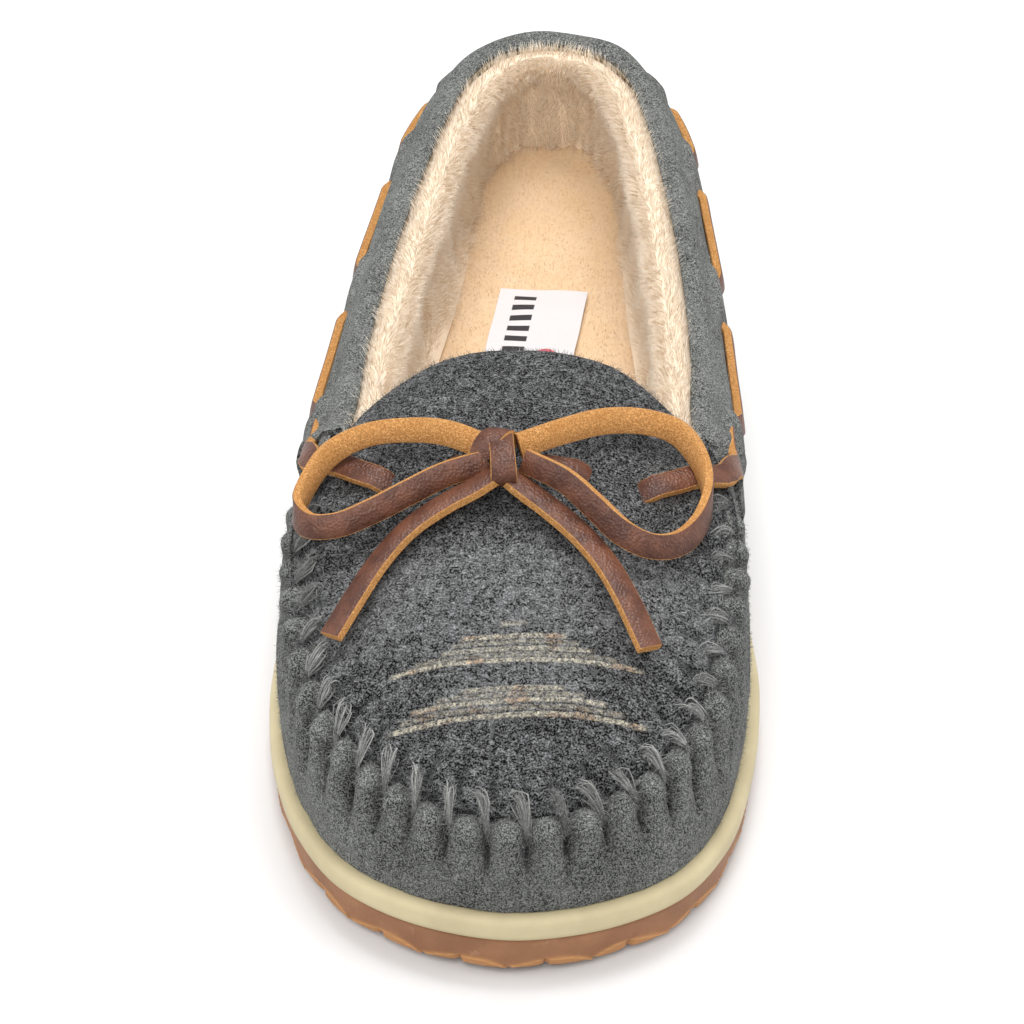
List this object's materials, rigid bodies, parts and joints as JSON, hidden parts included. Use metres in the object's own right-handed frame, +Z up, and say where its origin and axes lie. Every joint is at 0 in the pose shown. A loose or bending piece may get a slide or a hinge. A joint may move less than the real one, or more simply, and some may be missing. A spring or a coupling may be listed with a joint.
{
  "type": "moccasin slipper",
  "caption": "Left suede moccasin slipper with gathered toe seam, patterned wool plug, leather bow lace, deep cream pile lining and lugged rubber sole.",
  "frame": {"origin": "middle of the footprint's bounding box, on the tread", "axes": "+Z up, toe towards -Y, outer side of the foot towards +X"},
  "size_m": [0.0992, 0.2554, 0.0696],
  "materials": {
    "gum_rubber": "matt gum rubber",
    "cream_rubber": "satin cream rubber",
    "fibre_board": "dense fibre board",
    "foam": "soft foam sheet",
    "pile": "deep cream pile",
    "label": "woven label",
    "suede": "brushed suede",
    "wool": "felted wool blanket cloth",
    "thread": "thick waxed thread",
    "lace_leather": "oiled leather, tan flesh side"
  },
  "bodies": {
    "root": {"outsole": "gum_rubber", "midsole": "cream_rubber", "insole_board": "fibre_board", "footbed_foam": "foam", "footbed_pile": "pile", "sock_label": "label", "vamp": "suede", "quarter_lateral": "suede", "quarter_medial": "suede", "back_stay": "suede", "collar_cuff": "suede", "collar_foam": "foam", "heel_counter": "fibre_board", "quarter_lining": "pile", "vamp_lining": "pile", "plug": "wool", "plug_lining": "pile", "seam_thread": "thread", "lace_run": "lace_leather", "lace_knot": "lace_leather", "lace_loop_medial": "lace_leather", "lace_loop_lateral": "lace_leather", "lace_tail_medial": "lace_leather", "lace_tail_lateral": "lace_leather"}
  },
  "joints": []
}
